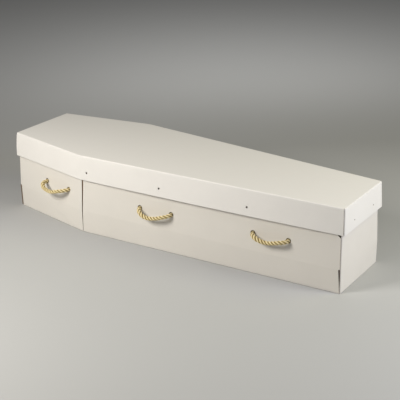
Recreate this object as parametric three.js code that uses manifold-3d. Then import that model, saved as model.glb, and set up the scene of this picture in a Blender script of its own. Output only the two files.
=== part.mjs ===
// A white cardboard coffin with its lid on and three rope handles on each side.
// Millimetres, +Z up. The head end is at -X and the foot end at +X. The right-hand side of the one who
// lies in it is at -Y. The underside of the tray is z = 0, under the middle of the lid.
import * as THREE from "three";
import { mergeVertices } from "three/addons/utils/BufferGeometryUtils.js";
import Module from "manifold-3d";

// The plan, measured round the foot of the tray and round the top of the lid
const LENGTH = 1925;
const HEAD_WIDTH = 400;
const SHOULDER_WIDTH = 591;
const FOOT_WIDTH = 388;
const SHOULDER_FROM_HEAD = 520;
const SHOULDER_ROUNDING = 24; // how far each side of the shoulder the board starts to bend
const SHOULDER_STEPS = 4;

// Heights
const HEIGHT = 415;
const SKIRT_DEPTH = 126;
const BOARD = 5; // double-wall corrugated board
const TOUCH = 0.3; // left between pieces that rest on each other
const TRAY_HEIGHT = HEIGHT - BOARD - TOUCH;

// How far the tray's walls stand outside the plan, by height: they belly out a little and then lean in
const BELLY_HEIGHT = 115;
const WALL_BELLY = 2.8;
const LEAN_HEIGHT = 281;
const LEAN_AT_SKIRT = -4.5;
const LEAN_AT_TOP = -7;

// The lid's skirt spreads towards its lower edge, most of all halfway along the long sides
const SKIRT_FLARE = 6.6;
const SKIRT_BOW = 7;
const SKIRT_BOW_STEPS = 10;

// Folds, the open slits at the tray's four corners, the gap at each shoulder, and the glue flaps behind
const LID_FOLD_RADIUS = 6;
const TRAY_FOLD_RADIUS = 4;
const SLIT_HEIGHT = 120;
const SLIT_AT_FLOOR = 1.5;
const SLIT_AT_TOP = 8;
const SHOULDER_GAP_AT_FLOOR = 1.5;
const SHOULDER_GAP_AT_SKIRT = 7;
const SHOULDER_FLAP = 45; // each side of the gap
const END_FLAP = 80; // along the end walls from each corner
const FLAP_SHORT = 4; // flaps stop this far short of the slits and of the walls' top
const LID_SEAM = 1;
const LID_SEAM_DEPTH = 3;

// Rope handles: each hangs from two holes in a wall, and a knot inside holds each end
const ROPE_DIAMETER = 20;
const ROPE_STEPS = 24;
const ROPE_HOLE_DIAMETER = 24;
const ROPE_HOLE_RAISE = 1.4; // the rope lies on the lower edge of its hole
const ROPE_HOLE_SPACING = 178;
const ROPE_HOLE_SIDES = 16;
const KNOT_DIAMETER = 42;
const KNOT_DEPTH = 34;
const KNOT_SOFTNESS = 8; // how far its edges are rounded off
const ROUND_SIDES = 8; // of the rope, its knots and the peg holes

// Holes punched for the pegs that fasten the lid: through the skirt and the tray along the long sides,
// and through the skirt alone at the two ends
const PEG_HOLE_DIAMETER = 7;
const PEG_HEIGHT = 330;
const PEGS_FROM_SHOULDER = [42, 464, 935];
const PEGS_FROM_END_MIDDLE = 98;

// The route of each rope's middle, from the head-side knot to the foot-side knot: along the wall from
// halfway between the holes, out from the wall, and down from the holes
const HOLE = ROPE_HOLE_SPACING / 2;
const HEAD_ROUTE = [
  [-HOLE, -22, 0], [-HOLE, -12, 0], [-HOLE, -2, 0], [-87, 23, 1], [-76, 40, 5], [-57, 50, 14],
  [-28, 52, 21], [-1, 52, 22], [24, 50, 17], [49, 45, 9], [70, 34, 4], [84, 17, 1],
  [HOLE, -2, 0], [HOLE, -12, 0], [HOLE, -22, 0],
];
const MIDDLE_ROUTE = [
  [-HOLE, -22, 0], [-HOLE, -12, 0], [-HOLE, -2, 0], [-85, 15, 3], [-75, 26, 9], [-55, 35, 19],
  [-27, 37, 26], [5, 38, 23], [36, 38, 15], [63, 33, 6], [76, 25, 3], [85, 14, 1],
  [HOLE, -2, 0], [HOLE, -12, 0], [HOLE, -22, 0],
];
const FOOT_ROUTE = [
  [-HOLE, -22, 0], [-HOLE, -12, 0], [-HOLE, -2, 0], [-85, 13, 1], [-75, 23, 4], [-58, 32, 9],
  [-28, 34, 16], [-1, 34, 17], [26, 35, 12], [57, 35, 3], [75, 27, 1], [85, 14, 0],
  [HOLE, -2, 0], [HOLE, -12, 0], [HOLE, -22, 0],
];
const HANDLES = [
  { place: "head", wall: "head_side", along: 339, height: 202, route: HEAD_ROUTE },
  { place: "middle", wall: "long_side", along: 441, height: 201, route: MIDDLE_ROUTE },
  { place: "foot", wall: "long_side", along: 1058, height: 202, route: FOOT_ROUTE },
];

// Colours and finishes
const WHITE_BOARD = { color: 0xe6e1d5, roughness: 0.62, metalness: 0 };
const NATURAL_ROPE = { color: 0xc8b478, roughness: 0.85, metalness: 0 };

const HEAD_END = -LENGTH / 2;
const FOOT_END = LENGTH / 2;
const SHOULDER = HEAD_END + SHOULDER_FROM_HEAD;
const REACH = 30; // how far cutting shapes run past what they cut

const wasm = await Module();
wasm.setup();

// A geometry with nothing but its points and faces, and its shared points merged
function closed(geometry) {
  const bare = geometry.clone();
  bare.deleteAttribute("normal");
  bare.deleteAttribute("uv");
  return mergeVertices(bare, 1e-4);
}

// A closed three.js geometry as a solid that can be cut and joined
function solidOf(geometry) {
  const merged = closed(geometry);
  return new wasm.Manifold(
    new wasm.Mesh({
      numProp: 3,
      vertProperties: merged.attributes.position.array,
      triVerts: new Uint32Array(merged.index.array),
    }),
  );
}

// The solid back as a three.js geometry
function geometryOf(solid) {
  const mesh = solid.getMesh();
  const geometry = new THREE.BufferGeometry();
  geometry.setAttribute("position", new THREE.BufferAttribute(mesh.vertProperties, 3));
  geometry.setIndex(new THREE.BufferAttribute(mesh.triVerts, 1));
  geometry.computeVertexNormals();
  return geometry;
}

// A closed shape through level rings that all have the same number of points, lowest first
function loft(rings) {
  const count = rings[0].length;
  const index = [];
  for (let level = 0; level + 1 < rings.length; level++)
    for (let i = 0; i < count; i++) {
      const a = level * count + i;
      const b = level * count + ((i + 1) % count);
      index.push(a, b, b + count, a, b + count, a + count);
    }
  const top = (rings.length - 1) * count;
  const flat = rings[0].map((p) => new THREE.Vector2(p.x, p.y));
  for (const [a, b, c] of THREE.ShapeUtils.triangulateShape(flat, []))
    index.push(c, b, a, top + a, top + b, top + c);
  const geometry = new THREE.BufferGeometry().setFromPoints(rings.flat());
  geometry.setIndex(index);
  return geometry;
}

// The plan as points, anticlockwise from the head's right-hand corner, with the share of the skirt's bow
// that each takes. The long sides have as many steps as their bow needs.
function planOf(bowSteps) {
  const head = new THREE.Vector2(HEAD_END, -HEAD_WIDTH / 2);
  const shoulder = new THREE.Vector2(SHOULDER, -SHOULDER_WIDTH / 2);
  const foot = new THREE.Vector2(FOOT_END, -FOOT_WIDTH / 2);
  const towards = (from, to, distance) =>
    from.clone().add(to.clone().sub(from).setLength(distance));
  const bend = new THREE.QuadraticBezierCurve(
    towards(shoulder, head, SHOULDER_ROUNDING),
    shoulder,
    towards(shoulder, foot, SHOULDER_ROUNDING),
  );
  const right = [{ at: head, bow: 0 }];
  for (const at of bend.getPoints(SHOULDER_STEPS)) right.push({ at, bow: 0 });
  for (let i = 1; i < bowSteps; i++) {
    const share = i / bowSteps;
    right.push({ at: shoulder.clone().lerp(foot, share), bow: Math.sin(Math.PI * share) });
  }
  right.push({ at: foot, bow: 0 });
  const left = right.map(({ at, bow }) => ({ at: new THREE.Vector2(at.x, -at.y), bow }));
  return [...right, ...left.reverse()];
}

const TRAY_PLAN = planOf(1);
const LID_PLAN = planOf(SKIRT_BOW_STEPS);

// A plan moved out by a distance and bowed along its long sides, as a ring at height z
function ring(plan, distance, z, bow = 0) {
  return plan.map(({ at, bow: share }, i) => {
    const before = plan[(i + plan.length - 1) % plan.length].at;
    const after = plan[(i + 1) % plan.length].at;
    const a = at.clone().sub(before).normalize();
    const b = after.clone().sub(at).normalize();
    const scale = 1 / (1 + a.dot(b));
    const out = distance + bow * share;
    return new THREE.Vector3(
      at.x + (a.y + b.y) * scale * out,
      at.y - (a.x + b.x) * scale * out,
      z,
    );
  });
}

// How far the tray's walls stand out of the plan at a height
function wallOffset(z) {
  if (z <= BELLY_HEIGHT) return (WALL_BELLY * z) / BELLY_HEIGHT;
  if (z <= LEAN_HEIGHT)
    return THREE.MathUtils.mapLinear(z, BELLY_HEIGHT, LEAN_HEIGHT, WALL_BELLY, LEAN_AT_SKIRT);
  return THREE.MathUtils.mapLinear(z, LEAN_HEIGHT, TRAY_HEIGHT, LEAN_AT_SKIRT, LEAN_AT_TOP);
}

// How far the lid's skirt stands out of the plan at a height
function skirtOffset(z) {
  return (SKIRT_FLARE * (HEIGHT - z)) / SKIRT_DEPTH;
}

const WALL_LEVELS = [BELLY_HEIGHT, LEAN_HEIGHT, TRAY_HEIGHT];

// A ring of the tray at height z, a distance out from the outer face of its walls
function trayRing(distance, z) {
  return ring(TRAY_PLAN, wallOffset(z) + distance, z);
}

// A band that follows the tray's walls, between two distances in from their outer face
function wallBand(outer, inner, from, to) {
  const levels = [from, ...WALL_LEVELS.filter((z) => z > from && z < to), to];
  const filled = loft(levels.map((z) => trayRing(-outer, z)));
  const core = [from - REACH, ...levels.slice(1, -1), to + REACH];
  const hollow = loft(core.map((z) => trayRing(-inner, z)));
  return solidOf(filled).subtract(solidOf(hollow));
}

// A straight-sided block between two corners
function block(low, high) {
  const size = new THREE.Vector3().subVectors(high, low);
  const middle = new THREE.Vector3().addVectors(low, high).multiplyScalar(0.5);
  const geometry = new THREE.BoxGeometry(size.x, size.y, size.z);
  return solidOf(geometry.translate(middle.x, middle.y, middle.z));
}

// The frame of a wall at a height on its outer face: X along it to the foot (or to +Y on an end), Y up
// it and Z out of it. `offset` says how far the face stands out of the plan at each height.
function wallFrame(from, to, height, offset) {
  const along = new THREE.Vector3(to.x - from.x, to.y - from.y, 0).normalize();
  const level = new THREE.Vector3(along.y, -along.x, 0);
  const step = 1;
  const tilt = (offset(height + step) - offset(height - step)) / (2 * step);
  const up = new THREE.Vector3(0, 0, 1).addScaledVector(level, tilt).normalize();
  const out = new THREE.Vector3().crossVectors(along, up);
  const place = new THREE.Vector3(from.x, from.y, height);
  place.addScaledVector(level, offset(height));
  return new THREE.Matrix4().makeBasis(along, up, out).setPosition(place);
}

// The walls on the right-hand side; the left-hand ones are their mirror image
const WALLS = {
  head_side: [
    new THREE.Vector2(HEAD_END, -HEAD_WIDTH / 2),
    new THREE.Vector2(SHOULDER, -SHOULDER_WIDTH / 2),
  ],
  long_side: [
    new THREE.Vector2(SHOULDER, -SHOULDER_WIDTH / 2),
    new THREE.Vector2(FOOT_END, -FOOT_WIDTH / 2),
  ],
};

// A geometry's mirror image on the left-hand side, with its faces still pointing outwards
function mirrored(geometry) {
  const other = closed(geometry).scale(1, -1, 1);
  const corners = other.index.array;
  for (let i = 0; i < corners.length; i += 3)
    [corners[i + 1], corners[i + 2]] = [corners[i + 2], corners[i + 1]];
  other.computeVertexNormals();
  return other;
}

// A round cutter along the frame's Z axis, through a wall
function punch(frame, along, up, diameter, sides) {
  const cylinder = new THREE.CylinderGeometry(diameter / 2, diameter / 2, 2 * REACH, sides);
  cylinder.rotateX(Math.PI / 2).translate(along, up, 0);
  return cylinder.applyMatrix4(frame);
}

// The same cutter on both sides of the coffin
function cutBothSides(solid, geometry) {
  return solid.subtract(solidOf(geometry)).subtract(solidOf(mirrored(geometry)));
}

// A peg hole's cutter in a wall, at a distance along it
function pegPunch(from, to, along) {
  const frame = wallFrame(from, to, PEG_HEIGHT, skirtOffset);
  return punch(frame, along, 0, PEG_HOLE_DIAMETER, ROUND_SIDES);
}

// The cutters of the peg holes in the right-hand long side
function sidePegPunches() {
  return PEGS_FROM_SHOULDER.map((along) => pegPunch(...WALLS.long_side, along));
}

// The cutters of the peg holes in the right-hand half of the two ends
function endPegPunches() {
  const foot = [new THREE.Vector2(FOOT_END, 0), new THREE.Vector2(FOOT_END, 1)];
  const head = [new THREE.Vector2(HEAD_END, 0), new THREE.Vector2(HEAD_END, -1)];
  return [pegPunch(...foot, -PEGS_FROM_END_MIDDLE), pegPunch(...head, PEGS_FROM_END_MIDDLE)];
}

// A flat outline, drawn along and up a wall, that cuts through the wall from inside to outside
function wallCut(frame, outline) {
  const shape = new THREE.Shape(outline.map(([along, up]) => new THREE.Vector2(along, up)));
  const cut = new THREE.ExtrudeGeometry(shape, { depth: 2 * REACH, bevelEnabled: false });
  return cut.translate(0, 0, -REACH).applyMatrix4(frame);
}

// The slit at each corner of the tray: the side wall is cut back from the end wall, more at the top
function cornerSlits() {
  const plumb = () => 0;
  const outline = (end, way) => [
    [end + way * BOARD, BOARD],
    [end + way * (BOARD + SLIT_AT_FLOOR), BOARD],
    [end + way * (BOARD + SLIT_AT_TOP), SLIT_HEIGHT],
    [end + way * BOARD, SLIT_HEIGHT],
  ];
  const head = wallFrame(...WALLS.head_side, 0, plumb);
  const foot = wallFrame(...WALLS.long_side, 0, plumb);
  const longSide = WALLS.long_side[0].distanceTo(WALLS.long_side[1]);
  return [wallCut(head, outline(0, 1)), wallCut(foot, outline(longSide, -1).reverse())];
}

// The gap between the head-side wall and the long wall, open from the floor to the top
function shoulderGap() {
  const rise = (SHOULDER_GAP_AT_SKIRT - SHOULDER_GAP_AT_FLOOR) / LEAN_HEIGHT;
  const top = TRAY_HEIGHT + REACH;
  const half = (z) => (SHOULDER_GAP_AT_FLOOR + rise * z) / 2;
  const across = [
    new THREE.Vector2(SHOULDER, -SHOULDER_WIDTH / 2),
    new THREE.Vector2(SHOULDER + 1, -SHOULDER_WIDTH / 2),
  ];
  const outline = [[-half(BOARD), BOARD], [half(BOARD), BOARD], [half(top), top], [-half(top), top]];
  return wallCut(wallFrame(...across, 0, () => 0), outline);
}

// The tray: one sheet folded up into a floor and six walls, with glue flaps inside
function tray() {
  const floorFold = [0, 45, 90].map((degrees) => {
    const turn = THREE.MathUtils.degToRad(degrees);
    const z = TRAY_FOLD_RADIUS * (1 - Math.cos(turn));
    return trayRing(-TRAY_FOLD_RADIUS * (1 - Math.sin(turn)), z);
  });
  const outside = loft([...floorFold, ...WALL_LEVELS.map((z) => trayRing(0, z))]);
  const hollow = loft([BOARD, ...WALL_LEVELS, TRAY_HEIGHT + REACH].map((z) => trayRing(-BOARD, z)));
  let walls = solidOf(outside).subtract(solidOf(hollow));

  for (const slit of cornerSlits()) walls = cutBothSides(walls, slit);
  walls = cutBothSides(walls, shoulderGap());

  const overlap = 1; // flaps run a little into the wall that they are glued to
  const flaps = wallBand(BOARD - overlap, 2 * BOARD, BOARD - overlap, TRAY_HEIGHT - FLAP_SHORT);
  const shoulderFlaps = flaps.intersect(
    block(
      new THREE.Vector3(SHOULDER - SHOULDER_FLAP, -SHOULDER_WIDTH, 0),
      new THREE.Vector3(SHOULDER + SHOULDER_FLAP, SHOULDER_WIDTH, HEIGHT),
    ),
  );
  walls = walls.add(shoulderFlaps);
  const flapDepth = 2 * BOARD - LEAN_AT_TOP;
  for (const way of [-1, 1])
    for (const side of [-1, 1]) {
      const x = [way * (FOOT_END - flapDepth), way * (FOOT_END + REACH)];
      const width = way < 0 ? HEAD_WIDTH : FOOT_WIDTH;
      const y = [side * (width / 2 - END_FLAP), side * (width / 2 + REACH)];
      const corner = block(
        new THREE.Vector3(Math.min(...x), Math.min(...y), SLIT_HEIGHT + FLAP_SHORT),
        new THREE.Vector3(Math.max(...x), Math.max(...y), HEIGHT),
      );
      walls = walls.add(flaps.intersect(corner));
    }

  for (const { wall, along, height } of HANDLES) {
    const frame = wallFrame(...WALLS[wall], height, wallOffset);
    for (const hole of [along - HOLE, along + HOLE]) {
      const cutter = punch(frame, hole, ROPE_HOLE_RAISE, ROPE_HOLE_DIAMETER, ROPE_HOLE_SIDES);
      walls = cutBothSides(walls, cutter);
    }
  }
  for (const peg of sidePegPunches()) walls = cutBothSides(walls, peg);
  return geometryOf(walls);
}

// The lid: one sheet with a folded skirt all round, and a seam where the skirts meet at each corner
function lid() {
  const topFold = [0, 30, 60, 90].map((degrees) => {
    const turn = THREE.MathUtils.degToRad(degrees);
    const z = HEIGHT - LID_FOLD_RADIUS * (1 - Math.sin(turn));
    return ring(LID_PLAN, skirtOffset(z) - LID_FOLD_RADIUS * (1 - Math.cos(turn)), z);
  });
  const edge = HEIGHT - SKIRT_DEPTH;
  const outside = loft([ring(LID_PLAN, SKIRT_FLARE, edge, SKIRT_BOW), ...topFold]);
  const below = edge - REACH;
  const bowBelow = (SKIRT_BOW * (HEIGHT - BOARD - below)) / (HEIGHT - BOARD - edge);
  const inside = loft([
    ring(LID_PLAN, skirtOffset(below) - BOARD, below, bowBelow),
    ring(LID_PLAN, skirtOffset(HEIGHT - BOARD) - BOARD, HEIGHT - BOARD),
  ]);
  let sheet = solidOf(outside).subtract(solidOf(inside));

  const seam = (wall, end, way) => {
    const frame = wallFrame(...WALLS[wall], edge, skirtOffset);
    const alongs = [end + way * BOARD, end + way * (BOARD + LID_SEAM)].sort((a, b) => a - b);
    const outline = [
      [alongs[0], -REACH],
      [alongs[1], -REACH],
      [alongs[1], SKIRT_DEPTH - LID_FOLD_RADIUS],
      [alongs[0], SKIRT_DEPTH - LID_FOLD_RADIUS],
    ];
    const shape = new THREE.Shape(outline.map(([x, y]) => new THREE.Vector2(x, y)));
    const groove = new THREE.ExtrudeGeometry(shape, { depth: REACH, bevelEnabled: false });
    return groove.translate(0, 0, -LID_SEAM_DEPTH).applyMatrix4(frame);
  };
  const longSide = WALLS.long_side[0].distanceTo(WALLS.long_side[1]);
  for (const groove of [seam("head_side", 0, 1), seam("long_side", longSide, -1)])
    sheet = cutBothSides(sheet, groove);
  for (const peg of [...sidePegPunches(), ...endPegPunches()]) sheet = cutBothSides(sheet, peg);
  return geometryOf(sheet);
}

// A stopper knot, standing on the wall's inner face round the rope: a short barrel along Z
function knot() {
  const radius = KNOT_DIAMETER / 2;
  const profile = [
    new THREE.Vector2(0, 0),
    new THREE.Vector2(radius - KNOT_SOFTNESS, 0),
    new THREE.Vector2(radius, KNOT_SOFTNESS),
    new THREE.Vector2(radius, KNOT_DEPTH - KNOT_SOFTNESS),
    new THREE.Vector2(radius - KNOT_SOFTNESS, KNOT_DEPTH),
    new THREE.Vector2(0, KNOT_DEPTH),
  ];
  const barrel = new THREE.LatheGeometry(profile, ROUND_SIDES).rotateX(Math.PI / 2);
  return barrel.translate(0, 0, -BOARD - TOUCH - KNOT_DEPTH);
}

// One rope handle with its two knots, in the frame of its wall
function ropeHandle(route) {
  const points = route.map(([along, out, down]) => new THREE.Vector3(along, -down, out));
  const path = new THREE.CatmullRomCurve3(points, false, "centripetal");
  const section = new THREE.Shape().absarc(0, 0, ROPE_DIAMETER / 2, 0, 2 * Math.PI);
  const rope = new THREE.ExtrudeGeometry(section, {
    curveSegments: ROUND_SIDES / 2,
    steps: ROPE_STEPS,
    extrudePath: path,
    bevelEnabled: false,
  });
  let solid = solidOf(rope);
  for (const along of [-HOLE, HOLE]) solid = solid.add(solidOf(knot().translate(along, 0, 0)));
  return geometryOf(solid);
}

const coffin = new THREE.Group();
coffin.name = "cardboard_coffin";

function addPiece(name, geometry, finish) {
  const mesh = new THREE.Mesh(geometry, new THREE.MeshStandardMaterial(finish));
  mesh.name = name;
  coffin.add(mesh);
}

addPiece("tray", tray(), WHITE_BOARD);
addPiece("lid", lid(), WHITE_BOARD);
for (const { place, wall, along, height, route } of HANDLES) {
  const frame = wallFrame(...WALLS[wall], height, wallOffset);
  const handle = ropeHandle(route).translate(along, 0, 0).applyMatrix4(frame);
  addPiece(`rope_handle_right_${place}`, handle, NATURAL_ROPE);
  addPiece(`rope_handle_left_${place}`, mirrored(handle), NATURAL_ROPE);
}

export default coffin;
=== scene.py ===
import math

import bmesh
import bpy
import numpy as np
from bpy.props import FloatProperty, FloatVectorProperty, PointerProperty
from mathutils import Matrix, Vector
from mathutils.kdtree import KDTree


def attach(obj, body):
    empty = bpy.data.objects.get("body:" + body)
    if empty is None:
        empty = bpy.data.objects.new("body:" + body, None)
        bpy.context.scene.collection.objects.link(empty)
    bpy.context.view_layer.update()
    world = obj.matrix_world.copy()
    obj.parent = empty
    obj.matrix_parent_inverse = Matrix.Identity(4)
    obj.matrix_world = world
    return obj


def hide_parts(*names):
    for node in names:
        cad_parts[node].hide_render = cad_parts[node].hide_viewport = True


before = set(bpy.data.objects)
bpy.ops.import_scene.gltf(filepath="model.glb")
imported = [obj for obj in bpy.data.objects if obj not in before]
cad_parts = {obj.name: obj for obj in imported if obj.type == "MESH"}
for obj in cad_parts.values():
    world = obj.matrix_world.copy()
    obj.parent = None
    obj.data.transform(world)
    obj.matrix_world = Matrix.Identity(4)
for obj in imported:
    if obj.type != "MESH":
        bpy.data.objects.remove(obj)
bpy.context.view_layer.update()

bl_info = {
    "name": "Cardboard Coffin",
    "version": (1, 0, 0),
    "blender": (4, 5, 0),
    "location": "3D View > Sidebar > Coffin",
    "description": "Dresses a white cardboard coffin: folded board, rope handles and their finishes",
    "category": "Object",
}

SIDES = {"right": -1, "left": 1}
ENDS = {"head": -1, "foot": 1}

# The plan round the foot of the tray and round the top of the lid: the head and foot corners and the
# shoulders, as distance along X and half the width there
HALF_LENGTH = 0.9625
HEAD = (-HALF_LENGTH, 0.200)
SHOULDER = (-0.4425, 0.2955)
FOOT = (HALF_LENGTH, 0.194)
SHOULDER_ROUNDING = 0.024
SHOULDER_STEPS = 4
BOW_STEPS = 10

# Heights, and how far the tray's walls stand outside the plan at four of them
BOARD = 0.005
HEIGHT = 0.415
TRAY_TOP = 0.4097
BELLY_HEIGHT = 0.115
LEAN_HEIGHT = 0.281
SKIRT_EDGE = 0.289
SKIRT_LEVELS = (0.387, 0.352, 0.318, SKIRT_EDGE)
PROFILE_HEIGHTS = (0.0, BELLY_HEIGHT, LEAN_HEIGHT, TRAY_TOP)
PROFILES = {
    "side": (0.0, 0.0028, -0.0056, -0.0080),
    "head": (-0.0058, -0.0074, -0.0094, -0.0125),
    "foot": (-0.0017, -0.0032, -0.0095, -0.0100),
}

# The lid's skirt: how far it stands out at its edge, how far its long sides bow and its head end bulges,
# and how far the lid's head end stands out of the plan
SKIRT_FLARE = 0.0066
SKIRT_BOW = 0.007
HEAD_BULGE = 0.004
LID_HEAD = -0.0064

# Folds and flaps. A fold starts with a small share of its radius, so that no ring falls together.
LID_FOLD = 0.006
TRAY_FOLD = 0.004
CORNER_FOLD = 0.006
FOLD_STEPS = 4
LEAST_SHARE = 0.04
CORNER_POINTS = 7
CORNER_STEP = 0.0026
CORNER_FLAP = 0.080
INSIDE_BEND = 0.0005
LID_FLAP = 0.0015
SHOULDER_FLAP = 0.045
FLAP_SHORT = 0.004

# Slits, the notch under the lid at the foot corners, and the shoulder gap, whose two edges stand this far
# towards the foot from the shoulder
SLIT_TOP = 0.120
SLIT_END = 0.0005
SLIT_WIDTHS = (0.0005, 0.007)
NOTCH_HEIGHTS = (0.270, 0.292)
NOTCH_WIDTHS = (0.0003, 0.028)
GAP_AT_FLOOR = (-0.0005, 0.0015)
GAP_AT_SKIRT = (0.0050, 0.0135)

# A head corner below the slits' top, from the side board to the end board's raw edge, as distance back
# from the corner and depth behind the side board's face
HEAD_CORNER = (
    (CORNER_FLAP, 0), (0.0120, 0), (0.0120, 0.0030), (0.0113, 0.0030), (0.0111, 0.0008),
    (0.0008, 0.0008), (0, 0.0016),
)

# Round holes
ROPE_HOLE_DIAMETER = 0.026
ROPE_HOLE_RAISE = 0.0025
ROPE_HOLE_SIDES = 40
PEG_HOLE_DIAMETER = 0.010
END_PEG_HOLE_DIAMETER = 0.006
PEG_HOLE_SIDES = 20
PEG_HEIGHT = 0.330
PEGS_FROM_SHOULDER = (0.045, 0.470, 0.940)
PEGS_FROM_END_MIDDLE = 0.098

# How far the cutters reach past the board, and the ends of the shoulder gap's cutter
ROD_LENGTH = 0.05
CUT_OUTSIDE = 0.01
CUT_INSIDE = 0.016
CUT_PAST = 0.00005
GAP_OUTSIDE = 0.02
GAP_INSIDE = 0.025

# The order of a board's materials
WHITE, KRAFT, RAW = 0, 1, 2

# The camera
CAMERA_PLACE = (2.5478, -3.6592, 2.0354)
CAMERA_TARGET = (0.0860, -0.0065, 0.1921)
CAMERA_LENS = 85.980
CAMERA_ROLL = -0.499

# The strands of a rope: their thickness as a share of the rope's, how much wider than deep they are, the
# yarns in them and the swelling along them
STRAND_SHARE = 0.51
STRAND_WIDTH = 1.1
YARN_LAY = 0.9
YARN_LOW = 0.93
YARN_RIPPLE = 0.09
SWELL = 0.02
SWELL_LENGTHS = (0.019, 0.0073)
SWELL_SHIFT = 2.1

# Where along a handle its bend loosens the strands, how far that spreads, and how much it adds
LOOSE_AT = 0.27
LOOSE_SPREAD = 0.14
LOOSENED = 0.17

# The knots inside
KNOT_TURNS = 1.65
KNOT_RADIUS = 0.0135
KNOT_START = -0.0345
KNOT_LENGTH = 0.0205
KNOT_ROPE = 0.75

# Rope handles: where each hangs, and its route from the head-side knot to the foot-side knot. The route
# is along the wall from halfway between its holes, out from the wall, and down from the holes.
ROPE_HOLE = 0.089
HANDLES = {
    "head": ("head_side", 0.339, 0.202),
    "middle": ("long_side", 0.441, 0.201),
    "foot": ("long_side", 1.058, 0.202),
}
ROUTES = {
    "head": (
        (-0.089, -0.022, 0.000), (-0.089, -0.012, 0.000), (-0.089, -0.002, 0.000),
        (-0.087, 0.023, 0.001), (-0.076, 0.040, 0.005), (-0.057, 0.050, 0.014),
        (-0.028, 0.052, 0.021), (-0.001, 0.052, 0.022), (0.024, 0.050, 0.017),
        (0.049, 0.045, 0.009), (0.070, 0.034, 0.004), (0.084, 0.017, 0.001),
        (0.089, -0.002, 0.000), (0.089, -0.012, 0.000), (0.089, -0.022, 0.000),
    ),
    "middle": (
        (-0.089, -0.022, 0.000), (-0.089, -0.012, 0.000), (-0.089, -0.002, 0.000),
        (-0.085, 0.015, 0.003), (-0.075, 0.026, 0.009), (-0.055, 0.035, 0.019),
        (-0.027, 0.037, 0.026), (0.005, 0.038, 0.023), (0.036, 0.038, 0.015),
        (0.063, 0.033, 0.006), (0.076, 0.025, 0.003), (0.085, 0.014, 0.001),
        (0.089, -0.002, 0.000), (0.089, -0.012, 0.000), (0.089, -0.022, 0.000),
    ),
    "foot": (
        (-0.089, -0.022, 0.000), (-0.089, -0.012, 0.000), (-0.089, -0.002, 0.000),
        (-0.085, 0.013, 0.001), (-0.075, 0.023, 0.004), (-0.058, 0.032, 0.009),
        (-0.028, 0.034, 0.016), (-0.001, 0.034, 0.017), (0.026, 0.035, 0.012),
        (0.057, 0.035, 0.003), (0.075, 0.027, 0.001), (0.085, 0.014, 0.000),
        (0.089, -0.002, 0.000), (0.089, -0.012, 0.000), (0.089, -0.022, 0.000),
    ),
}


def deselect():
    """Leave edit mode with nothing selected."""
    if bpy.context.mode != "OBJECT":
        bpy.ops.object.mode_set(mode="OBJECT")
    bpy.ops.object.select_all(action="DESELECT")


def drag(mesh, vertices, targets):
    """In edit mode, drag each vertex to its target, those that move alike together."""
    moves = {}
    for vertex, target in zip(vertices, targets):
        move = target - vertex.co
        moves.setdefault(tuple(round(c, 7) for c in move), []).append(vertex)
    for move, group in moves.items():
        bpy.ops.mesh.select_all(action="DESELECT")
        for vertex in group:
            vertex.select = True
        bpy.ops.transform.translate(value=move)
    for vertex in vertices:
        vertex.select = True
    bmesh.from_edit_mesh(mesh).select_flush(True)


def folded_shell(name, rings):
    """A closed shell of board: a disc dragged to the first ring, drawn out through the others and closed
    at the last. Returns it with the ring and the place in the ring of every vertex."""
    deselect()
    count = len(rings[0])
    bpy.ops.mesh.primitive_circle_add(vertices=count, radius=1, fill_type="NGON")
    obj = bpy.context.active_object
    obj.name = obj.data.name = name
    bpy.ops.object.mode_set(mode="EDIT")
    bpy.ops.mesh.select_mode(type="VERT")
    mesh = bmesh.from_edit_mesh(obj.data)
    mesh.verts.ensure_lookup_table()
    drag(obj.data, list(mesh.verts), rings[0])
    places = list(range(count))
    for ring_points in rings[1:]:
        bpy.ops.mesh.extrude_edges_indiv()
        mesh = bmesh.from_edit_mesh(obj.data)
        mesh.verts.ensure_lookup_table()
        fresh = list(mesh.verts)[-count:]
        tree = KDTree(count)
        for place, vertex in enumerate(list(mesh.verts)[-2 * count:-count]):
            tree.insert(vertex.co, places[-count + place])
        tree.balance()
        found = [tree.find(vertex.co)[1] for vertex in fresh]
        if sorted(found) != list(range(count)):
            raise RuntimeError(f"{name}: the ring wasn't drawn out whole")
        drag(obj.data, fresh, [ring_points[place] for place in found])
        places += found
    bpy.ops.mesh.edge_face_add()
    bpy.ops.mesh.select_all(action="SELECT")
    bpy.ops.mesh.normals_make_consistent(inside=False)
    bpy.ops.object.mode_set(mode="OBJECT")
    return obj, np.array(places)


def line_meet(normal_a, reach_a, normal_b, reach_b):
    """Where the lines normal . p = reach meet."""
    turn = np.array((normal_a, normal_b))
    return Vector(np.linalg.solve(turn, (reach_a, reach_b)))


def side_normals():
    """Level outward normals of the head end, the two right-hand walls and the foot end, each with the
    plan's reach along it."""
    head, shoulder, foot = (Vector((x, -half)) for x, half in (HEAD, SHOULDER, FOOT))
    walls = []
    for start, end in ((head, shoulder), (shoulder, foot)):
        along = (end - start).normalized()
        normal = Vector((along.y, -along.x))
        walls.append((normal, normal.dot(start)))
    ends = [(Vector((-1, 0)), HALF_LENGTH), (Vector((1, 0)), HALF_LENGTH)]
    return ends[0], walls[0], walls[1], ends[1]


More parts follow.
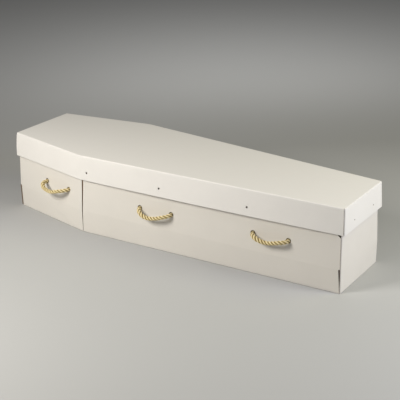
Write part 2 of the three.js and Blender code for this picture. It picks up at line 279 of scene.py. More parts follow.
def corner(side, end, out, end_out, share, flap, slit=False):
    """A corner's points, from the side wall to the end wall. Outside, the side board stops at its cut edge
    and the end board folds round behind it; inside, where a flap's thickness is given, that flap runs back
    along the side board. `share` is how much of the step and fold there is at this height. At a slit head
    corner the end board isn't folded, and its raw edge shows beyond the side board's."""
    (side_normal, side_reach), (end_normal, end_reach) = side, end
    along = Vector((-side_normal.y, side_normal.x))
    if along.dot(end_normal) > 0:
        along = -along
    if flap:
        inside = end_reach + end_out - BOARD
        first = line_meet(side_normal, side_reach + out - BOARD, end_normal, inside)
        first += along * CORNER_FLAP
        bend = line_meet(side_normal, side_reach + out - BOARD - flap, end_normal, inside)
        into = Vector((0, 1))
        return [
            first, first - side_normal * flap, bend + along * 2 * INSIDE_BEND,
            bend + along * INSIDE_BEND, bend, bend + into * INSIDE_BEND, bend + into * 2 * INSIDE_BEND,
        ]
    meet = line_meet(side_normal, side_reach + out, end_normal, end_reach + end_out)
    if slit:
        return [meet + along * back - side_normal * deep * share for back, deep in HEAD_CORNER]
    radius = CORNER_FOLD * share
    deep = CORNER_STEP * share
    centre = line_meet(
        side_normal, side_reach + out - deep - radius, end_normal, end_reach + end_out - radius
    )
    arc = [
        centre + (side_normal * math.cos(t) + end_normal * math.sin(t)).normalized() * radius
        for t in np.linspace(0, math.pi / 2, CORNER_POINTS - 2)
    ]
    return [meet + along * CORNER_FLAP, arc[0] + side_normal * deep, *arc]


def outline(z, out, head_out, foot_out, share=1.0, bow=0.0, flap=0.0, rounded=True, slit=False):
    """One turn round the board at a height, anticlockwise from the head's right-hand corner: its sides
    `out` from the plan, its ends by their own steps, and its long sides bowed. With a flap's thickness it
    is the board's inside. The shoulder is rounded or sharp, and the head's corners may be slit."""
    head_end, head_side, long_side, foot_end = side_normals()
    right = list(reversed(corner(head_side, head_end, out, head_out, share, flap, slit)))
    depth = BOARD if flap else 0.0
    head_reach, long_reach, foot_reach = (
        reach + out - depth for _, reach in (head_side, long_side, foot_end)
    )
    shoulder = line_meet(head_side[0], head_reach, long_side[0], long_reach)
    foot_corner = line_meet(long_side[0], long_reach, foot_end[0], foot_reach)
    to_head = Vector((-head_side[0].y, head_side[0].x))
    to_head = -to_head if to_head.x > 0 else to_head
    to_foot = (foot_corner - shoulder).normalized()
    if rounded:
        start, end = shoulder + to_head * SHOULDER_ROUNDING, shoulder + to_foot * SHOULDER_ROUNDING
        for i in range(SHOULDER_STEPS + 1):
            t = i / SHOULDER_STEPS
            right.append(start * (1 - t) ** 2 + shoulder * 2 * t * (1 - t) + end * t * t)
        for i in range(1, BOW_STEPS):
            part = i / BOW_STEPS
            at = shoulder.lerp(foot_corner, part)
            right.append(at + long_side[0] * bow * math.sin(math.pi * part))
    else:
        right.append(shoulder)
    right += corner(long_side, foot_end, out, foot_out, share, flap)
    turn = [Vector((p.x, p.y, z)) for p in right]
    return turn + [Vector((p.x, -p.y, z)) for p in reversed(turn)]


def wall_offset(z, wall="side"):
    """How far a wall of the tray stands out of the plan at a height."""
    return float(np.interp(z, PROFILE_HEIGHTS, PROFILES[wall]))


def skirt_flare(z):
    """How far the lid's skirt stands out of the plan at a height."""
    return SKIRT_FLARE * (HEIGHT - z) / (HEIGHT - SKIRT_EDGE)


def wall_frame(wall, height):
    """The frame of a right-hand wall at a height on its outer face: X along it towards the foot, Y up it
    and Z out of it."""
    start, end = (HEAD, SHOULDER) if wall == "head_side" else (SHOULDER, FOOT)
    along = Vector((end[0] - start[0], start[1] - end[1], 0)).normalized()
    level = Vector((along.y, -along.x, 0))
    step = 0.001
    tilt = (wall_offset(height + step) - wall_offset(height - step)) / (2 * step)
    up = (Vector((0, 0, 1)) + level * tilt).normalized()
    out = along.cross(up)
    place = Vector((start[0], -start[1], height)) + level * wall_offset(height)
    turn = Matrix((along, up, out)).transposed().to_4x4()
    return Matrix.Translation(place) @ turn


def smooth_path(points, spacing):
    """Points about a spacing apart on the centripetal Catmull-Rom curve through some points."""
    steps_between = 24
    ends = [2 * points[0] - points[1], *points, 2 * points[-1] - points[-2]]
    fine = []
    for p0, p1, p2, p3 in zip(ends, ends[1:], ends[2:], ends[3:]):
        t0 = 0.0
        t1 = t0 + math.sqrt((p1 - p0).length)
        t2 = t1 + math.sqrt((p2 - p1).length)
        t3 = t2 + math.sqrt((p3 - p2).length)
        for t in np.linspace(t1, t2, steps_between, endpoint=False):
            a1 = p0.lerp(p1, (t - t0) / (t1 - t0))
            a2 = p1.lerp(p2, (t - t1) / (t2 - t1))
            a3 = p2.lerp(p3, (t - t2) / (t3 - t2))
            b1 = a1.lerp(a2, (t - t0) / (t2 - t0))
            b2 = a2.lerp(a3, (t - t1) / (t3 - t1))
            fine.append(b1.lerp(b2, (t - t1) / (t2 - t1)))
    fine.append(points[-1].copy())
    line = np.array([tuple(p) for p in fine])
    return even_path(line, spacing)


def even_path(line, spacing):
    """The same line with its points evenly spaced."""
    steps = np.linalg.norm(np.diff(line, axis=0), axis=1)
    along = np.concatenate([[0.0], np.cumsum(steps)])
    at = np.linspace(0.0, along[-1], max(2, round(along[-1] / spacing)) + 1)
    return np.stack([np.interp(at, along, line[:, k]) for k in range(3)], axis=1)


def rope_mesh(name, path, diameter, lay, around, yarns, loosened=0.0):
    """A three-strand laid rope along a path. Each strand is a tube of its own, pressed against the other
    two, whose surface ripples over its yarns. `loosened` is the share of its thickness that is added where
    the bend at its head-side end loosens it."""
    tangents = np.gradient(path, axis=0)
    tangents /= np.linalg.norm(tangents, axis=1)[:, None]
    first = np.cross(tangents[0], (0.0, 0.0, 1.0))
    if np.linalg.norm(first) < 0.1:
        first = np.cross(tangents[0], (0.0, 1.0, 0.0))
    normals = [first / np.linalg.norm(first)]
    for tangent in tangents[1:]:
        carried = normals[-1] - tangent * normals[-1].dot(tangent)
        normals.append(carried / np.linalg.norm(carried))
    normals = np.array(normals)
    sideways = np.cross(tangents, normals)
    along = np.concatenate([[0.0], np.cumsum(np.linalg.norm(np.diff(path, axis=0), axis=1))])

    strand = diameter / 2 * STRAND_SHARE
    centre = diameter / 2 - strand
    loose = 1 + loosened * np.exp(-(((along / along[-1] - LOOSE_AT) / LOOSE_SPREAD) ** 2))
    turn = 2 * math.pi * along / lay
    beta = 2 * math.pi * np.arange(around) / around
    points, faces, uvs, depths = [], [], [], []
    for k in range(3):
        phase = turn + 2 * math.pi * k / 3
        radial = normals * np.cos(phase)[:, None] + sideways * np.sin(phase)[:, None]
        across = np.cross(tangents, radial)
        middle = path + radial * (centre * loose)[:, None]
        yarn_turn = turn * YARN_LAY * diameter / 2 / strand
        ripple = np.abs(np.cos((yarns * (beta[None, :] + yarn_turn[:, None])) / 2))
        radius = strand * (YARN_LOW + YARN_RIPPLE * ripple)
        swell = 1 + SWELL * np.sin(along / SWELL_LENGTHS[0] + SWELL_SHIFT * k)
        swell = swell + SWELL * np.sin(along / SWELL_LENGTHS[1] + k)
        radius = radius * (swell * loose)[:, None]
        ring_points = (
            middle[:, None, :]
            + radial[:, None, :] * (radius * np.cos(beta))[:, :, None]
            + across[:, None, :] * (STRAND_WIDTH * radius * np.sin(beta))[:, :, None]
        )
        start = len(points)
        points += ring_points.reshape(-1, 3).tolist()
        from_middle = np.linalg.norm(ring_points - path[:, None, :], axis=2)
        depths += (from_middle / (diameter / 2 * loose)[:, None]).ravel().tolist()
        count = len(path)
        for i in range(count - 1):
            for j in range(around):
                a = start + i * around + j
                b = start + i * around + (j + 1) % around
                faces.append((a, b, b + around, a + around))
                left = j / around + k
                right = (j + 1) / around + k
                uvs += [(left, along[i]), (right, along[i])]
                uvs += [(right, along[i + 1]), (left, along[i + 1])]
        for i, order in ((0, -1), (count - 1, 1)):
            faces.append([start + i * around + j for j in range(around)][::order])
            uvs += [(k, along[i])] * around
    mesh = bpy.data.meshes.new(name)
    mesh.from_pydata(points, [], faces)
    layer = mesh.uv_layers.new(name="lay")
    layer.data.foreach_set("uv", np.array(uvs, np.float32).ravel())
    depth = mesh.attributes.new("depth", "FLOAT", "POINT")
    depth.data.foreach_set("value", np.array(depths, np.float32))
    mesh.polygons.foreach_set("use_smooth", [True] * len(mesh.polygons))
    made = bpy.data.objects.new(name, mesh)
    bpy.context.scene.collection.objects.link(made)
    return made


def on_side(points, side):
    """The points of a right-hand path, mirrored for the left-hand side."""
    return points if side == "right" else points * np.array((1.0, -1.0, 1.0))


def handle_path(place, spacing):
    """The middle line of a right-hand rope handle in the coffin's frame."""
    wall, along, height = HANDLES[place]
    at = wall_frame(wall, height)
    points = [at @ Vector((along + x, -down, out)) for x, out, down in ROUTES[place]]
    return smooth_path(points, spacing)


def knot_path(place, end, spacing):
    """The middle line of the stopper knot inside a right-hand wall: it turns back from the rope's end and
    winds round the rope towards the wall."""
    wall, along, height = HANDLES[place]
    at = wall_frame(wall, height)
    opens, closes, least, lies_back = 0.12, 0.2, 0.45, 0.95
    points = []
    for part in np.linspace(0, 1, 40):
        angle = 2 * math.pi * KNOT_TURNS * part * end
        reach = KNOT_RADIUS * min(1.0, part / opens) * min(1.0, least + (1 - part) / closes)
        out = KNOT_START + KNOT_LENGTH * min(1.0, part / lies_back)
        points.append(at @ Vector((
            along + end * ROPE_HOLE + reach * math.cos(angle), reach * math.sin(angle), out,
        )))
    return smooth_path(points, spacing)


def node_tree(name):
    """A new material with a Principled shader, as (material, nodes, link function, shader)."""
    material = bpy.data.materials.new(name)
    material.use_nodes = True
    nodes = material.node_tree.nodes
    shader = nodes["Principled BSDF"]

    def link(source, target):
        material.node_tree.links.new(source, target)

    return material, nodes, link, shader


def rope_material(settings):
    material, nodes, link, shader = node_tree("natural_rope")
    shader.inputs["Roughness"].default_value = 0.82
    shader.inputs["Specular IOR Level"].default_value = 0.3
    lay = nodes.new("ShaderNodeUVMap")
    lay.uv_map = "lay"
    mapping = nodes.new("ShaderNodeMapping")
    mapping.inputs["Scale"].default_value = (26.0, 150.0, 1.0)
    link(lay.outputs["UV"], mapping.inputs["Vector"])
    fibres = nodes.new("ShaderNodeTexNoise")
    fibres.inputs["Scale"].default_value = 1.0
    fibres.inputs["Detail"].default_value = 3.0
    link(mapping.outputs["Vector"], fibres.inputs["Vector"])
    tone = nodes.new("ShaderNodeValToRGB")
    tone.color_ramp.elements[0].position = 0.3
    tone.color_ramp.elements[0].color = (*settings.shade, 1)
    tone.color_ramp.elements[1].position = 0.7
    tone.color_ramp.elements[1].color = (*settings.colour, 1)
    link(fibres.outputs["Fac"], tone.inputs["Fac"])
    depth = nodes.new("ShaderNodeAttribute")
    depth.attribute_name = "depth"
    # The grooves between the strands are darkened towards a near-black colour: painted shade.
    groove_shade = nodes.new("ShaderNodeMapRange")
    groove_shade.inputs["From Min"].default_value = 0.62
    groove_shade.inputs["From Max"].default_value = 0.90
    link(depth.outputs["Fac"], groove_shade.inputs["Value"])
    mix = nodes.new("ShaderNodeMix")
    mix.data_type = "RGBA"
    mix.inputs["A"].default_value = (*settings.groove_shade, 1)
    link(groove_shade.outputs["Result"], mix.inputs["Factor"])
    link(tone.outputs["Color"], mix.inputs["B"])
    # The tops of the strands are lightened towards the crest colour: a painted highlight.
    crest_highlight = nodes.new("ShaderNodeMapRange")
    crest_highlight.inputs["From Min"].default_value = 0.88
    crest_highlight.inputs["From Max"].default_value = 1.0
    link(depth.outputs["Fac"], crest_highlight.inputs["Value"])
    lit = nodes.new("ShaderNodeMix")
    lit.data_type = "RGBA"
    lit.inputs["B"].default_value = (*settings.crest_highlight, 1)
    link(crest_highlight.outputs["Result"], lit.inputs["Factor"])
    link(mix.outputs["Result"], lit.inputs["A"])
    link(lit.outputs["Result"], shader.inputs["Base Color"])
    bump = nodes.new("ShaderNodeBump")
    bump.inputs["Strength"].default_value = 0.4
    bump.inputs["Distance"].default_value = 0.0004
    link(fibres.outputs["Fac"], bump.inputs["Height"])
    link(bump.outputs["Normal"], shader.inputs["Normal"])
    return material


def paper_group():
    """The node group of every paper face: mottled and fibrous, with the flutes faintly showing."""
    group = bpy.data.node_groups.get("paper")
    if group:
        return group
    group = bpy.data.node_groups.new("paper", "ShaderNodeTree")
    face = group.interface
    for name, kind in (
        ("Colour", "NodeSocketColor"), ("Shade", "NodeSocketColor"), ("Fibre", "NodeSocketFloat"),
        ("Flutes", "NodeSocketFloat"),
    ):
        face.new_socket(name=name, in_out="INPUT", socket_type=kind)
    for name, kind in (
        ("Colour", "NodeSocketColor"), ("Roughness", "NodeSocketFloat"), ("Height", "NodeSocketFloat"),
    ):
        face.new_socket(name=name, in_out="OUTPUT", socket_type=kind)
    nodes, link = group.nodes, group.links.new
    given = nodes.new("NodeGroupInput")
    made = nodes.new("NodeGroupOutput")
    place = nodes.new("ShaderNodeTexCoord")

    mottle = nodes.new("ShaderNodeTexNoise")
    mottle.inputs["Scale"].default_value = 5.0
    mottle.inputs["Detail"].default_value = 5.0
    mottle.inputs["Roughness"].default_value = 0.6
    link(place.outputs["Object"], mottle.inputs["Vector"])
    fibres = nodes.new("ShaderNodeTexNoise")
    fibres.inputs["Scale"].default_value = 900.0
    fibres.inputs["Detail"].default_value = 3.0
    link(place.outputs["Object"], fibres.inputs["Vector"])
    flutes = nodes.new("ShaderNodeTexWave")
    flutes.wave_type = "BANDS"
    flutes.bands_direction = "X"
    flutes.inputs["Scale"].default_value = 40.0
    flutes.inputs["Distortion"].default_value = 0.6
    flutes.inputs["Detail Scale"].default_value = 2.0
    link(place.outputs["Object"], flutes.inputs["Vector"])

    def scaled(source, low, high):
        span = nodes.new("ShaderNodeMapRange")
        span.inputs["From Min"].default_value = 0.3
        span.inputs["From Max"].default_value = 0.7
        span.inputs["To Min"].default_value = low
        span.inputs["To Max"].default_value = high
        link(source, span.inputs["Value"])
        return span.outputs["Result"]

    def combined(operation, a, b):
        node = nodes.new("ShaderNodeMath")
        node.operation = operation
        for socket, value in zip(node.inputs, (a, b)):
            if isinstance(value, float):
                socket.default_value = value
            else:
                link(value, socket)
        return node.outputs["Value"]

    mottle_strength = 0.6
    fibre_part = combined("MULTIPLY", scaled(fibres.outputs["Fac"], 0.0, 1.0), given.outputs["Fibre"])
    mottle_part = combined("MULTIPLY", scaled(mottle.outputs["Fac"], 0.0, 1.0), mottle_strength)
    tone = combined("ADD", mottle_part, fibre_part)
    mix = nodes.new("ShaderNodeMix")
    mix.data_type = "RGBA"
    link(tone, mix.inputs["Factor"])
    link(given.outputs["Colour"], mix.inputs["A"])
    link(given.outputs["Shade"], mix.inputs["B"])
    link(mix.outputs["Result"], made.inputs["Colour"])
    link(scaled(mottle.outputs["Fac"], 0.48, 0.62), made.inputs["Roughness"])
    flute_part = combined("MULTIPLY", flutes.outputs["Fac"], given.outputs["Flutes"])
    link(combined("ADD", flute_part, fibre_part), made.inputs["Height"])
    return group


def paper_material(name, colour, shade, fibre, flutes, bump_depth):
    """A paper face's material."""
    material, nodes, link, shader = node_tree(name)
    shader.inputs["Specular IOR Level"].default_value = 0.35
    paper = nodes.new("ShaderNodeGroup")
    paper.node_tree = paper_group()
    paper.inputs["Colour"].default_value = (*colour, 1)
    paper.inputs["Shade"].default_value = (*shade, 1)
    paper.inputs["Fibre"].default_value = fibre
    paper.inputs["Flutes"].default_value = flutes
    link(paper.outputs["Colour"], shader.inputs["Base Color"])
    link(paper.outputs["Roughness"], shader.inputs["Roughness"])
    bump = nodes.new("ShaderNodeBump")
    bump.inputs["Strength"].default_value = 0.5
    bump.inputs["Distance"].default_value = bump_depth
    link(paper.outputs["Height"], bump.inputs["Height"])
    link(bump.outputs["Normal"], shader.inputs["Normal"])
    return material


def board_materials(piece, white, settings):
    """A piece's white outside, brown inside and raw corrugated edge."""
    brown, edge = settings.brown, settings.edge
    return [
        paper_material(
            f"{piece}_white", white, [c * 0.95 for c in white], fibre=0.15, flutes=0.4,
            bump_depth=0.0001,
        ),
        paper_material(
            f"{piece}_brown", brown, [c * 0.75 for c in brown], fibre=0.4, flutes=1.0, bump_depth=0.0002,
        ),
        paper_material(
            f"{piece}_edge", edge, [c * 0.35 for c in edge], fibre=0.8, flutes=4.0, bump_depth=0.001,
        ),
    ]


class CoffinRope(bpy.types.PropertyGroup):
    """Sizes and colours of the rope handles"""

    diameter: FloatProperty(name="Diameter", description="Rope diameter", default=0.020, unit="LENGTH")
    lay: FloatProperty(name="Lay", description="Length of one turn of a strand", default=0.052, unit="LENGTH")
    colour: FloatVectorProperty(
        name="Colour", description="Colour of the fibres", subtype="COLOR", size=3,
        default=(0.70, 0.55, 0.26), min=0, max=1,
    )
    shade: FloatVectorProperty(
        name="Shade", description="Darker fibres", subtype="COLOR", size=3,
        default=(0.50, 0.37, 0.14), min=0, max=1,
    )
    # The crest colour is a painted highlight on the tops of the strands.
    crest_highlight: FloatVectorProperty(
        name="Crest", description="Bleached fibres on top of the strands", subtype="COLOR", size=3,
        default=(0.88, 0.76, 0.46), min=0, max=1,
    )
    # The groove colour is painted shade between the strands.
    groove_shade: FloatVectorProperty(
        name="Groove", description="Colour between the strands", subtype="COLOR", size=3,
        default=(0.10, 0.065, 0.015), min=0, max=1,
    )


class CoffinBoard(bpy.types.PropertyGroup):
    """Colours of the board"""

    lid_white: FloatVectorProperty(
        name="Lid white", description="Colour of the lid's white outer paper", subtype="COLOR", size=3,
        default=(0.80, 0.775, 0.735), min=0, max=1,
    )
    # The tray's white is the lid's paper made darker and warmer: painted shade on the same board.
    shaded_tray_white: FloatVectorProperty(
        name="Tray white", description="Colour of the tray's white outer paper", subtype="COLOR", size=3,
        default=(0.744, 0.709, 0.650), min=0, max=1,
    )
    brown: FloatVectorProperty(
        name="Brown", description="Colour of the brown inner paper", subtype="COLOR", size=3,
        default=(0.32, 0.20, 0.11), min=0, max=1,
    )
    edge: FloatVectorProperty(
        name="Cut edge", description="Colour of the raw cut edges", subtype="COLOR", size=3,
        default=(0.34, 0.22, 0.13), min=0, max=1,
    )


class CoffinStage(bpy.types.PropertyGroup):
    """Floor, light and camera"""

    floor: FloatVectorProperty(
        name="Floor", description="Colour of the floor", subtype="COLOR", size=3,
        default=(0.46, 0.46, 0.45), min=0, max=1,
    )
    key: FloatProperty(
        name="Key light", description="Power of the light at the near side", default=74.0, unit="POWER",
    )
    foot: FloatProperty(
        name="Foot light", description="Power of the light at the foot end", default=58.0, unit="POWER",
    )
    top: FloatProperty(
        name="Top light", description="Power of the light behind and above the foot", default=22.0,
        unit="POWER",
    )
    back: FloatProperty(
        name="Floor light", description="Power of the light on the floor behind", default=55.0,
        unit="POWER",
    )
    ambient: FloatProperty(name="Ambient", description="Strength of the light all round", default=0.10)


def aim(obj, target):
    """Turn an object so that its -Z axis points at a target."""
    direction = Vector(target) - obj.location
    obj.rotation_euler = direction.to_track_quat("-Z", "Y").to_euler()


class COFFIN_OT_stage(bpy.types.Operator):
    """Add the camera, the lights and the floor"""

    bl_idname = "coffin.stage"
    bl_label = "Stage"

    def execute(self, context):
        settings = context.scene.coffin_stage
        camera = bpy.data.objects.new("camera", bpy.data.cameras.new("camera"))
        context.scene.collection.objects.link(camera)
        camera.data.sensor_width = 36.0
        camera.data.lens = CAMERA_LENS
        camera.location = CAMERA_PLACE
        aim(camera, CAMERA_TARGET)
        camera.rotation_euler.rotate_axis("Z", math.radians(CAMERA_ROLL))
        context.scene.camera = camera

        coffin, far_floor = (0, 0, 0.2), (-4.0, 6.0, 0)
        for name, place, target, size, power, colour in (
            ("key_light", (-0.9, -2.3, 1.9), coffin, 1.0, settings.key, (1.0, 0.97, 0.92)),
            ("foot_light", (3.0, 0.1, 1.7), coffin, 1.4, settings.foot, (0.86, 0.88, 1.0)),
            ("top_light", (2.4, 0.8, 2.4), coffin, 1.4, settings.top, (1.0, 0.93, 0.43)),
            ("floor_light", (-1.2, 2.6, 2.6), far_floor, 3.0, settings.back, (1.0, 1.0, 1.0)),
        ):
            light = bpy.data.objects.new(name, bpy.data.lights.new(name, "AREA"))
            light.data.size = size
            light.data.energy = power
            light.data.color = colour
            light.location = place
            context.scene.collection.objects.link(light)
            aim(light, target)
        world = bpy.data.worlds.new("soft_light")
        world.use_nodes = True
        background = world.node_tree.nodes["Background"]
        background.inputs["Color"].default_value = (1, 1, 1, 1)
        background.inputs["Strength"].default_value = settings.ambient
        context.scene.world = world
        context.scene.view_settings.view_transform = "Standard"
        context.scene.cycles.use_denoising = True

        bpy.ops.mesh.primitive_plane_add(size=60)
        floor = context.active_object
        floor.name = "floor"
        material, _, _, shader = node_tree("floor")
        shader.inputs["Base Color"].default_value = (*settings.floor, 1)
        shader.inputs["Roughness"].default_value = 0.9
        floor.data.materials.append(material)
        return {"FINISHED"}


class COFFIN_OT_ropes(bpy.types.Operator):
    """Lay the six rope handles"""

    bl_idname = "coffin.ropes"
    bl_label = "Rope handles"

    def execute(self, context):
        settings = context.scene.coffin_rope
        material = rope_material(settings)
        for place in HANDLES:
            right = handle_path(place, spacing=0.0016)
            for side in SIDES:
                path = on_side(right, side)
                rope = rope_mesh(
                    f"rope_{side}_{place}", path, settings.diameter, settings.lay, around=40, yarns=10,
                    loosened=LOOSENED,
                )
                knots = []
                for end, way in ENDS.items():
                    knots.append(rope_mesh(
                        f"{end}_knot_{side}_{place}", on_side(knot_path(place, way, spacing=0.003), side),
                        settings.diameter * KNOT_ROPE, settings.lay, around=18, yarns=6,
                    ))
                for piece in (rope, *knots):
                    piece.data.materials.append(material)
                    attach(piece, "root")
                    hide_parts(f"rope_handle_{side}_{place}")
        return {"FINISHED"}


def corner_faces(count):
    """The places in a ring, of `count` points, of the side boards' cut edges, and of the head corners from
    the end wall to the side boards."""
    half = count // 2
    last = CORNER_POINTS - 1
    cuts = [{last - 2, last - 1}, {half - last, half - last + 1}]
    folds = set(range(last - 1))
    cuts += [{count - 1 - i for i in pair} for pair in cuts]
    return cuts, folds, {count - 1 - i for i in folds}


def paint_board(obj, places, count, outer_rings, raw_below=0.0):
    """Give the shell its white outside, brown inside and raw cut edges. The head corners are raw below a
    height."""
    cuts, right_fold, left_fold = corner_faces(count)
    mesh = obj.data
    for face in mesh.polygons:
        rings_met = {v // count for v in face.vertices}
        where = {int(places[v]) for v in face.vertices}
        high = max(mesh.vertices[v].co.z for v in face.vertices)
        if min(rings_met) >= outer_rings:
            face.material_index = KRAFT
        elif max(rings_met) >= outer_rings:
            face.material_index = RAW
        elif any(where <= cut for cut in cuts):
            face.material_index = RAW
        elif high < raw_below and (where <= right_fold or where <= left_fold):
            face.material_index = RAW
        else:
            face.material_index = WHITE


def cutting_block(corners):
    """A cube dragged to eight corners, low ones first: each given by whether it is at the far end along
    the wall, at the outside, and at the top."""
    deselect()
    bpy.ops.mesh.primitive_cube_add(size=2)
    obj = bpy.context.active_object
    bpy.ops.object.mode_set(mode="EDIT")
    mesh = bmesh.from_edit_mesh(obj.data)
    vertices = list(mesh.verts)
    drag(obj.data, vertices, [corners(v.co.x > 0, v.co.y < 0, v.co.z > 0) for v in vertices])
    bpy.ops.mesh.select_all(action="SELECT")
    bpy.ops.mesh.normals_make_consistent(inside=False)
    bpy.ops.object.mode_set(mode="OBJECT")
    return obj


def cutting_rod(at, along, up, diameter, sides):
    """A round cutter through a wall, at a place in the wall's frame."""
    deselect()
    turn = at @ Matrix.Translation((along, up, 0))
    bpy.ops.mesh.primitive_cylinder_add(
        vertices=sides, radius=diameter / 2, depth=ROD_LENGTH, location=turn.translation,
        rotation=turn.to_euler(),
    )
    obj = bpy.context.active_object
    bpy.ops.object.transform_apply(location=True, rotation=True, scale=True)
    return obj


def mirrored(obj):
    """A copy on the other side of the coffin, with its own mesh and its faces still pointing outwards."""
    deselect()
    obj.select_set(True)
    bpy.context.view_layer.objects.active = obj
    bpy.ops.object.duplicate()
    copy = bpy.context.active_object
    bpy.ops.object.mode_set(mode="EDIT")
    bpy.ops.mesh.select_all(action="SELECT")
    bpy.ops.transform.mirror(constraint_axis=(False, True, False), center_override=(0, 0, 0))
    bpy.ops.mesh.normals_make_consistent(inside=False)
    bpy.ops.object.mode_set(mode="OBJECT")
    return copy


def cut_out(obj, cutters):
    """Cut the cutters out of the board, leaving raw edges."""
    deselect()
    for cutter in cutters:
        cutter.select_set(True)
        cutter.data.materials.clear()
        for material in obj.data.materials:
            cutter.data.materials.append(material)
        for face in cutter.data.polygons:
            face.material_index = RAW
    bpy.context.view_layer.objects.active = cutters[0]
    bpy.ops.object.join()
    tool = bpy.context.active_object
    deselect()
    obj.select_set(True)
    bpy.context.view_layer.objects.active = obj
    modifier = obj.modifiers.new("cut", "BOOLEAN")
    modifier.operation = "DIFFERENCE"
    modifier.solver = "EXACT"
    modifier.object = tool
    bpy.ops.object.modifier_apply(modifier=modifier.name)
    bpy.data.objects.remove(tool)


def finish_board(obj, node):
    """Shade the board flat between its folds, and let it stand for its node."""
    deselect()
    obj.select_set(True)
    bpy.context.view_layer.objects.active = obj
    bpy.ops.object.shade_smooth_by_angle(angle=math.radians(32))
    modifier = obj.modifiers.new("flat_sides", "WEIGHTED_NORMAL")
    modifier.keep_sharp = True
    bpy.ops.object.modifier_apply(modifier=modifier.name)
    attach(obj, "root")
    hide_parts(node)


def foot_corner_cut(heights, widths):
    """A cutter at the foot end of the right-hand long board: its width along the board at two heights."""
    _, _, long_side, foot_end = side_normals()
    normal = Vector((*long_side[0], 0))

    def place(far, outside, top):
        z = heights[1] if top else heights[0]
        points = corner(long_side, foot_end, wall_offset(z), wall_offset(z, "foot"), 1.0, 0.0)
        cut_edge = Vector((*points[1], z))
        back = Vector((*(points[0] - points[1]).normalized(), 0))
        width = widths[1] if top else widths[0]
        at = cut_edge + back * width if far else cut_edge - back * CUT_PAST
        return at + normal * (CUT_OUTSIDE if outside else -CUT_INSIDE)

    return cutting_block(place)


def gap_cut():
    """The cutter of the right-hand shoulder's gap."""

    def place(far, outside, top):
        z = TRAY_TOP + GAP_OUTSIDE if top else BOARD
        floor, skirt = (edges[1 if far else 0] for edges in (GAP_AT_FLOOR, GAP_AT_SKIRT))
        x = SHOULDER[0] + floor + (skirt - floor) * z / LEAN_HEIGHT
        return Vector((x, -SHOULDER[1] + (-GAP_OUTSIDE if outside else GAP_INSIDE), z))

    return cutting_block(place)


def end_frame(end):
    """The frame of an end's skirt at the peg holes: Y across it, and Z along the coffin's length."""
    x = ENDS[end] * (HALF_LENGTH + skirt_flare(PEG_HEIGHT))
    if end == "head":
        x -= LID_HEAD
    return Matrix.Translation((x, 0, PEG_HEIGHT)) @ Matrix.Rotation(math.pi / 2, 4, "Y")


def side_peg_rods():
    """The cutters of the peg holes along both long sides."""
    at = wall_frame("long_side", PEG_HEIGHT)
    rods = [
        cutting_rod(at, along, 0, PEG_HOLE_DIAMETER, PEG_HOLE_SIDES) for along in PEGS_FROM_SHOULDER
    ]
    return rods + [mirrored(rod) for rod in rods]


class COFFIN_OT_tray(bpy.types.Operator):
    """Fold up the tray"""

    bl_idname = "coffin.tray"
    bl_label = "Tray"

    def execute(self, context):
        rings = []
        for i in range(FOLD_STEPS + 1):
            turn = math.pi / 2 * i / FOLD_STEPS
            z = TRAY_FOLD * (1 - math.cos(turn))
            fold = -TRAY_FOLD * (1 - math.sin(turn))
            outs = [wall_offset(z, wall) + fold for wall in PROFILES]
            share = max(math.sin(turn), LEAST_SHARE)
            rings.append(outline(z, *outs, share=share, rounded=False, slit=True))
        for z in (BELLY_HEIGHT, SLIT_TOP, SLIT_TOP + SLIT_END, LEAN_HEIGHT, TRAY_TOP):
            outs = [wall_offset(z, wall) for wall in PROFILES]
            rings.append(outline(z, *outs, rounded=False, slit=z <= SLIT_TOP))
        outer_rings = len(rings)
        for z in (TRAY_TOP, LEAN_HEIGHT, SLIT_TOP, BELLY_HEIGHT, BOARD):
            outs = [wall_offset(z, wall) for wall in PROFILES]
            rings.append(outline(z, *outs, flap=BOARD, rounded=False))
        tray, places = folded_shell("tray_board", rings)
        settings = context.scene.coffin_board
        # The tray takes the darker white, which is painted shade on the lid's paper.
        for material in board_materials("tray", settings.shaded_tray_white, settings):
            tray.data.materials.append(material)
        paint_board(tray, places, len(rings[0]), outer_rings, raw_below=SLIT_TOP + 2 * SLIT_END)

        cutters = [
            foot_corner_cut((BOARD, SLIT_TOP), SLIT_WIDTHS),
            foot_corner_cut(NOTCH_HEIGHTS, NOTCH_WIDTHS),
            gap_cut(),
        ]
        for wall, along, height in HANDLES.values():
            at = wall_frame(wall, height)
            for hole in (along - ROPE_HOLE, along + ROPE_HOLE):
                cutters.append(
                    cutting_rod(at, hole, ROPE_HOLE_RAISE, ROPE_HOLE_DIAMETER, ROPE_HOLE_SIDES)
                )
        cutters += [mirrored(cutter) for cutter in cutters]
        cut_out(tray, cutters + side_peg_rods())
        finish_board(tray, "tray")

        _, head_side, long_side, _ = side_normals()
        to_head = Vector((head_side[0].y, -head_side[0].x))
        to_foot = Vector((-long_side[0].y, long_side[0].x))
        clear = 0.0001
        for side, way in SIDES.items():
            strip = []
            for z in (BOARD + 2 * clear, BELLY_HEIGHT, LEAN_HEIGHT, TRAY_TOP - FLAP_SHORT):
                faces = []
                for depth in (BOARD + clear, 2 * BOARD):
                    reach = wall_offset(z) - depth
                    bend = line_meet(
                        head_side[0], head_side[1] + reach, long_side[0], long_side[1] + reach
                    )
                    faces.append([
                        bend + to_head * SHOULDER_FLAP, bend, bend + to_foot * SHOULDER_FLAP,
                    ])
                turn = faces[0] + faces[1][::-1]
                strip.append([Vector((p.x, -way * p.y, z)) for p in turn])
            flap, _ = folded_shell(f"shoulder_flap_{side}", strip)
            # The flap takes the brown inner paper on every face, also on the face seen through the shoulder
            # gap, where the darker brown stands partly for kraft and partly for painted shade.
            flap.data.materials.append(tray.data.materials[KRAFT])
            finish_board(flap, "tray")
        return {"FINISHED"}


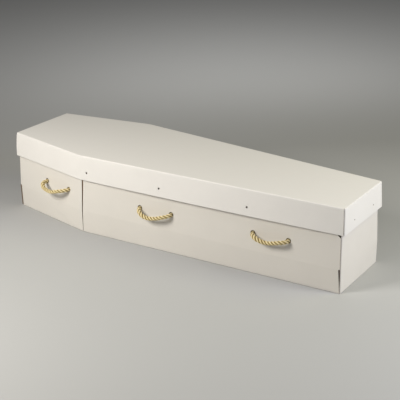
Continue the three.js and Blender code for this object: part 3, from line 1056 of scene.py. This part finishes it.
class COFFIN_OT_lid(bpy.types.Operator):
    """Fold the lid"""

    bl_idname = "coffin.lid"
    bl_label = "Lid"

    def execute(self, context):
        fold_low = HEIGHT - LID_FOLD
        rings = []
        for i in range(FOLD_STEPS + 1):
            turn = math.pi / 2 * (1 - i / FOLD_STEPS)
            z = HEIGHT - LID_FOLD * (1 - math.sin(turn))
            out = skirt_flare(z) - LID_FOLD * (1 - math.cos(turn))
            rings.append(outline(z, out, out + LID_HEAD, out, share=max(math.cos(turn), LEAST_SHARE)))
        levels = []
        for z in SKIRT_LEVELS:
            part = (fold_low - z) / (fold_low - SKIRT_EDGE)
            out = skirt_flare(z)
            bulge = HEAD_BULGE * math.sin(math.pi * part)
            levels.append({
                "z": z, "out": out, "head_out": out + LID_HEAD + bulge, "foot_out": out,
                "bow": SKIRT_BOW * part,
            })
        rings += [outline(**level) for level in levels]
        outer_rings = len(rings)
        rings += [outline(**level, flap=LID_FLAP) for level in reversed(levels)]
        out = skirt_flare(HEIGHT - BOARD)
        rings.append(outline(HEIGHT - BOARD, out, out + LID_HEAD, out, flap=LID_FLAP))
        lid, places = folded_shell("lid_board", rings)
        settings = context.scene.coffin_board
        for material in board_materials("lid", settings.lid_white, settings):
            lid.data.materials.append(material)
        paint_board(lid, places, len(rings[0]), outer_rings)

        ends = []
        for end in ENDS:
            at = end_frame(end)
            for across in (-PEGS_FROM_END_MIDDLE, PEGS_FROM_END_MIDDLE):
                hole = at @ Matrix.Translation((0, across, 0))
                ends.append(cutting_rod(hole, 0, 0, END_PEG_HOLE_DIAMETER, PEG_HOLE_SIDES))
        cut_out(lid, side_peg_rods() + ends)
        finish_board(lid, "lid")
        return {"FINISHED"}


class COFFIN_PT_panel(bpy.types.Panel):
    """The coffin's pieces and their settings"""

    bl_idname = "COFFIN_PT_panel"
    bl_label = "Cardboard coffin"
    bl_space_type = "VIEW_3D"
    bl_region_type = "UI"
    bl_category = "Coffin"

    def draw(self, context):
        for group in (context.scene.coffin_rope, context.scene.coffin_board, context.scene.coffin_stage):
            box = self.layout.box()
            for name in group.__annotations__:
                box.prop(group, name)
        for operator in OPERATORS:
            self.layout.operator(operator.bl_idname)


GROUPS = {"coffin_rope": CoffinRope, "coffin_board": CoffinBoard, "coffin_stage": CoffinStage}
OPERATORS = (COFFIN_OT_stage, COFFIN_OT_ropes, COFFIN_OT_tray, COFFIN_OT_lid)


def register():
    for name, group in GROUPS.items():
        bpy.utils.register_class(group)
        setattr(bpy.types.Scene, name, PointerProperty(type=group))
    for operator in OPERATORS:
        bpy.utils.register_class(operator)
    bpy.utils.register_class(COFFIN_PT_panel)


def unregister():
    bpy.utils.unregister_class(COFFIN_PT_panel)
    for operator in reversed(OPERATORS):
        bpy.utils.unregister_class(operator)
    for name, group in GROUPS.items():
        delattr(bpy.types.Scene, name)
        bpy.utils.unregister_class(group)


def main():
    register()
    bpy.ops.coffin.stage()
    bpy.ops.coffin.ropes()
    bpy.ops.coffin.tray()
    bpy.ops.coffin.lid()


if __name__ == "__main__":
    main()
